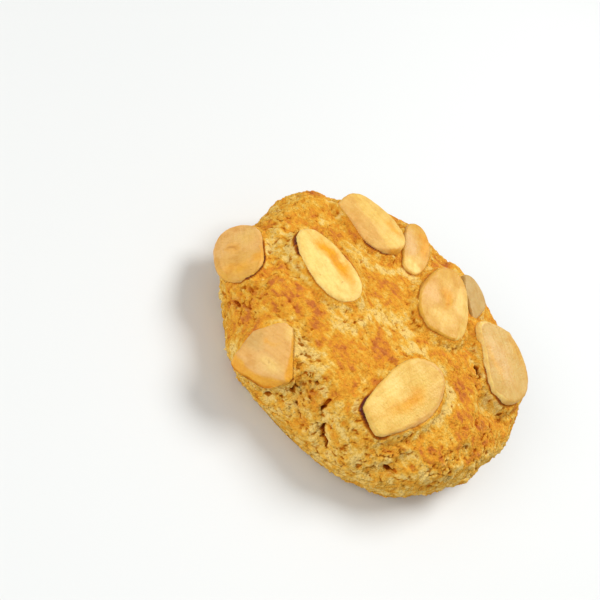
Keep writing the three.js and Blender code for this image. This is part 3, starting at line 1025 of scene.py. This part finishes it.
def shape_slice(piece, seat, look):
    """Draws the round plate out to its solid's outline and models its top. Gives the points in the slice's
    own axes, and how far each lies inside the rim."""
    plate = vertex_places(piece.data)
    angle, share = polar(plate)
    reach = seat.reach(angle)
    rim = level_places(angle, reach)
    reach += look.spread * MM
    reach += sum(ragged * MM * noise_at(seat.stand(rim), size * MM) for size, ragged in RAGGED)
    out = share * reach
    local = level_places(angle, out)
    top = seat.thickness / 2 + look.crown * MM * (1 - share**2)
    top -= look.fall * MM * fade(0.0, look.breadth * MM, reach - out)
    for facing, half_angle, breadth, fall, *_ in look.rounded:
        rim = 1 - np.minimum((reach - out) / (breadth * MM + wobble(local)), 1)
        top -= fall * MM * rim**ROUNDED_POWER * towards(angle, facing, half_angle)
    for facing, crease, slope, *_ in look.facets:
        beyond = past_crease(local, facing, crease)
        top -= slope * (np.sqrt(beyond**2 + CREASE_ROUND**2) + beyond) / 2
    for *oval, depth in look.dimples:
        top -= depth * MM * patch(local, *oval)
    top += SLICE_WAVE * noise_at(seat.stand(local), SLICE_WAVE_SIZE)
    top = np.maximum(top, UNDER_RISE - seat.thickness / 2)
    under = seat.thickness / 2 - UNDER_RISE * fade(0.0, UNDER_BREADTH, reach - out)
    local[:, 2] = 2 * plate[:, 2] * np.where(plate[:, 2] > 0, top, under)
    piece.data.vertices.foreach_set("co", seat.stand(local).ravel())
    piece.data.update()
    return local, reach - out


def blend(colours, colour, share):
    """Lays one more colour over the colours of the vertices, with a share for each."""
    share = share[:, None]
    return (1 - share) * colours + share * np.array(colour)


def tint_slice(piece, local, inside, look):
    """Lays a slice's colours on its vertices: soft uneven patches, then its rounded rims and flat cuts."""
    colours = np.tile(look.colour, (len(local), 1))
    moved = astray(local, TINT_WANDERS)
    for *oval, colour, strength in look.tints:
        colours = blend(colours, colour, strength * patch(moved, *oval))
    angle, _ = polar(local)
    for facing, half_angle, breadth, _, colour, strength in look.rounded:
        stretch = strength * towards(angle, facing, half_angle)
        crease = breadth * MM + wobble(local)
        colours = blend(colours, colour, stretch * fade(*ROUNDED_TINT, inside / crease))
        line = fade(0.0, CREASE_LINE, np.abs(inside - crease))
        colours = blend(colours, SINGED, CREASE_BROWN * stretch * line)
    for facing, crease, _, colour, strength in look.facets:
        beyond = smoothstep(*FACET_TINT, past_crease(local, facing, crease))
        colours = blend(colours, colour, strength * beyond)
    attribute = piece.data.attributes.new("tint", "FLOAT_COLOR", "POINT")
    solid = np.concatenate([colours, np.ones((len(local), 1))], axis=1)
    attribute.data.foreach_set("color", solid.astype(np.float32).ravel())


def lay_out(piece, local):
    """A flat map of the slice seen from above, in millimetres, so that its grain runs along its length."""
    layer = piece.data.uv_layers.new(name="slice_plan")
    corners = np.empty(len(piece.data.loops), dtype=int)
    piece.data.loops.foreach_get("vertex_index", corners)
    layer.data.foreach_set("uv", (local[corners, :2] / MM).astype(np.float32).ravel())


def make_slice(blank, node, look):
    piece = blank.copy()
    piece.data = blank.data.copy()
    piece.name = node + "_toasted"
    link(piece)
    local, inside = shape_slice(piece, seats[node], look)
    tint_slice(piece, local, inside, look)
    lay_out(piece, local)
    return piece


# Materials


def add_node(tree, kind, inputs=None, **settings):
    """Adds a shader node. An input is a plain value or another node's output."""
    node = tree.nodes.new("ShaderNode" + kind)
    for setting, value in settings.items():
        setattr(node, setting, value)
    for socket, value in (inputs or {}).items():
        if isinstance(value, bpy.types.NodeSocket):
            tree.links.new(value, node.inputs[socket])
        else:
            node.inputs[socket].default_value = value
    return node


def painted(tree, name):
    return add_node(tree, "Attribute", attribute_name=name).outputs["Fac"]


def speckle(tree, place, size, detail=3.0, rough=0.55):
    """Noise of one size in millimetres, from 0 to 1."""
    inputs = {"Vector": place, "Scale": 1 / (size * MM), "Detail": detail, "Roughness": rough}
    return add_node(tree, "TexNoise", inputs).outputs["Fac"]


def between(tree, value, low, high, start=0.0, end=1.0):
    """Carries a value from the range low to high over to the range start to end."""
    inputs = {"Value": value, "From Min": low, "From Max": high, "To Min": start, "To Max": end}
    return add_node(tree, "MapRange", inputs, interpolation_type="SMOOTHSTEP").outputs["Result"]


def calculate(tree, operation, first, second):
    return add_node(tree, "Math", {0: first, 1: second}, operation=operation).outputs[0]


def colour_mix(tree, share, first, second, mode="MIX"):
    inputs = {0: share, 6: first, 7: second}
    return add_node(tree, "Mix", inputs, data_type="RGBA", blend_type=mode).outputs[2]


def new_material(name):
    """An empty material and its tree of nodes."""
    material = bpy.data.materials.new(name)
    material.use_nodes = True
    material.node_tree.nodes.clear()
    return material, material.node_tree


def surface(tree, **sockets):
    """The closing shader of a material, with its plain values set on its own sockets."""
    inputs = {name.replace("_", " "): value for name, value in sockets.items()}
    shader = add_node(tree, "BsdfPrincipled", inputs)
    add_node(tree, "OutputMaterial", {"Surface": shader.outputs["BSDF"]})


def colour_ramp(tree, value, stops):
    """A colour that runs through the stops at even steps as the value goes from 0 to 1."""
    node = add_node(tree, "ValToRGB", {"Fac": value})
    ramp = node.color_ramp
    while len(ramp.elements) < len(stops):
        ramp.elements.new(1.0)
    for i, colour in enumerate(stops):
        ramp.elements[i].position = i / (len(stops) - 1)
        ramp.elements[i].color = (*colour, 1)
    return node.outputs["Color"]


def baked_dough():
    material, tree = new_material("baked_dough")
    place = add_node(tree, "TexCoord").outputs["Object"]
    brushed = add_node(tree, "Mapping", {"Vector": place, "Scale": CRUST_STREAKS})
    streak = speckle(tree, brushed.outputs["Vector"], size=1.0)
    mottle = speckle(tree, place, size=3.5, detail=2.0)
    blotch = speckle(tree, place, size=1.9, detail=2.0)
    fine = speckle(tree, place, size=0.7)
    grain_and_glint = speckle(tree, place, size=0.3, detail=2.0)
    cells = add_node(tree, "TexVoronoi", {"Vector": place, "Scale": 1 / CRUST_SAND})
    brown = painted(tree, "browning")
    for spread, most in ((streak, 0.2), (mottle, 0.25), (blotch, 0.29), (fine, 0.12)):
        brown = calculate(tree, "ADD", brown, between(tree, spread, 0.3, 0.7, start=-most, end=most))
    colour = colour_ramp(tree, calculate(tree, "DIVIDE", brown, MOST_BROWN), CRUST_COLOURS)
    hollow = painted(tree, "hollow")
    # Painted highlight: crumbs that stand out are made paler, and scattered pale specks stand partly for
    # glints
    lit_raised = between(tree, hollow, *HIGHLIGHT_SPAN, start=0.25, end=0.0)
    pale_and_lit = calculate(tree, "MAXIMUM", between(tree, grain_and_glint, 0.6, 0.75, end=0.2), lit_raised)
    colour = colour_mix(tree, pale_and_lit, colour, PALE_CRUMB_AND_HIGHLIGHT)
    # Painted shade in the hollows of the crust, darkest in the deep ones
    colour = colour_mix(tree, between(tree, hollow, *HOLLOW_SHADE_SPAN), colour, HOLLOW_PAINTED_SHADE, "MULTIPLY")
    colour = colour_mix(tree, between(tree, hollow, *DEEP_SHADE_SPAN, end=0.9), colour, DEEP_HOLLOW_SHADE)
    patchy = between(tree, mottle, 0.3, 0.5, start=0.4)
    caramel_and_shadow = calculate(tree, "MULTIPLY", painted(tree, "caramel_and_shadow"), patchy)
    # Burnt caramel and painted contact shadow round the slices: russet at the edge, dark in the middle
    colour = colour_mix(tree, between(tree, caramel_and_shadow, *RUSSET_SPAN), colour, RUSSET)
    colour = colour_mix(tree, between(tree, caramel_and_shadow, *CARAMEL_AND_SHADOW_SPAN), colour, DARK_CARAMEL_AND_SHADOW)
    relief = calculate(tree, "SUBTRACT", calculate(tree, "ADD", fine, grain_and_glint), cells.outputs["Distance"])
    bump = add_node(tree, "Bump", {"Strength": 1.0, "Distance": CRUST_BUMP, "Height": relief})
    surface(
        tree,
        Base_Color=colour,
        Roughness=between(tree, caramel_and_shadow, *CARAMEL_AND_SHADOW_SPAN, start=0.75, end=0.45),
        Specular_IOR_Level=0.05,
        Coat_Weight=between(tree, caramel_and_shadow, 0.6, 0.95, end=0.7),
        Coat_Roughness=0.15,
        Normal=bump.outputs["Normal"],
    )
    return material


def toasted_almond():
    material, tree = new_material("toasted_almond")
    plan = add_node(tree, "UVMap", uv_map="slice_plan").outputs["UV"]
    place = add_node(tree, "TexCoord").outputs["Object"]
    stretch = add_node(tree, "Mapping", {"Vector": plan, "Scale": ALMOND_GRAIN})
    fibres = {"Vector": stretch.outputs["Vector"], "Scale": 1.0, "Detail": 3.0}
    grain = add_node(tree, "TexNoise", fibres).outputs["Fac"]
    cloud = speckle(tree, place, size=2.2)
    pore = speckle(tree, place, size=0.45, detail=2.0)
    fleck = speckle(tree, place, size=0.8, detail=1.0)
    colour = add_node(tree, "Attribute", attribute_name="tint").outputs["Color"]
    for spread, most in ((grain, 0.5), (cloud, 0.8), (pore, 0.4)):
        share = between(tree, spread, 0.42, 0.7, end=most)
        colour = colour_mix(tree, share, colour, ALMOND_SHADE, "MULTIPLY")
    colour = colour_mix(tree, between(tree, fleck, 0.71, 0.8, end=0.35), colour, (*SINGED, 1))
    relief = calculate(tree, "ADD", grain, pore)
    bump = add_node(tree, "Bump", {"Strength": 0.6, "Distance": ALMOND_BUMP, "Height": relief})
    surface(
        tree,
        Base_Color=colour,
        Roughness=between(tree, cloud, 0.3, 0.7, start=0.36, end=0.52),
        Specular_IOR_Level=0.22,
        Normal=bump.outputs["Normal"],
        Subsurface_Weight=0.2,
        Subsurface_Radius=(1.0, 0.6, 0.25),
        Subsurface_Scale=1.0 * MM,
    )
    return material


def pale_floor():
    material, tree = new_material("pale_floor")
    surface(tree, Base_Color=FLOOR_PALE, Roughness=0.6)
    return material


# The stage


def make_floor():
    deselect_all()
    bpy.ops.mesh.primitive_plane_add(size=FLOOR_SIDE)
    floor = bpy.context.active_object
    floor.name = "floor"
    floor.data.materials.append(pale_floor())


def make_camera():
    """The camera is turned off its target so that the target falls on its own pixel of the picture."""
    elevation = math.radians(CAMERA_ELEVATION)
    back = Vector((0, -math.cos(elevation), math.sin(elevation)))
    right = Vector((1, 0, 0))
    up = back.cross(right)
    level = Matrix((right, up, back)).transposed()
    focal = LENS_MM / SENSOR_MM * IMAGE_SIDE
    across = (TARGET_PIXEL[0] - IMAGE_SIDE / 2) / focal
    down = (TARGET_PIXEL[1] - IMAGE_SIDE / 2) / focal
    aim = Vector((0, 0, -1)).rotation_difference(Vector((across, -down, -1)))
    turn = level @ Matrix.Rotation(math.radians(CAMERA_ROLL), 3, "Z") @ aim.to_matrix().transposed()
    data = bpy.data.cameras.new("camera")
    data.lens = LENS_MM
    data.sensor_width = SENSOR_MM
    data.clip_start = 0.01
    camera = bpy.data.objects.new("camera", data)
    camera.matrix_world = Matrix.Translation(CAMERA_TARGET + CAMERA_DISTANCE * back) @ turn.to_4x4()
    link(camera)
    bpy.context.scene.camera = camera


def add_softbox(name, place, size, energy):
    lamp = bpy.data.lights.new(name, "AREA")
    lamp.shape = "DISK"
    lamp.size = size
    lamp.energy = energy
    softbox = bpy.data.objects.new(name, lamp)
    softbox.matrix_world = Matrix.Translation(place) @ place.to_track_quat("Z", "Y").to_matrix().to_4x4()
    link(softbox)


def make_lights():
    """A bright room, a main light from behind and above, and a weak one from the front for the near wall."""
    world = bpy.data.worlds.new("studio")
    world.use_nodes = True
    background = world.node_tree.nodes["Background"]
    background.inputs["Color"].default_value = (1.0, 1.0, 1.0, 1)
    background.inputs["Strength"].default_value = ROOM_LIGHT
    bpy.context.scene.world = world
    add_softbox("main_light", place=Vector((0.10, 0.34, 0.54)), size=0.35, energy=3.4)
    add_softbox("front_light", place=Vector((-0.24, -0.50, 0.30)), size=0.5, energy=2.4)
    bpy.context.scene.view_settings.view_transform = "Standard"


# The biscuit put together

noise.seed_set(SEED)
make_camera()
make_lights()
make_floor()

seats = {node: Seat(node, look.heading) for node, look in SLICES.items()}
dough = make_dough()
dough.data.materials.append(baked_dough())
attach(dough, "root")
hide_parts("dough")

crumbs = make_crumbs(dough)
crumbs.data.materials.append(dough.data.materials[0])
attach(crumbs, "root")

almond = toasted_almond()
blank = slice_blank()
for node, look in SLICES.items():
    piece = make_slice(blank, node, look)
    piece.data.materials.append(almond)
    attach(piece, "root")
    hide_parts(node)
bpy.data.objects.remove(blank)
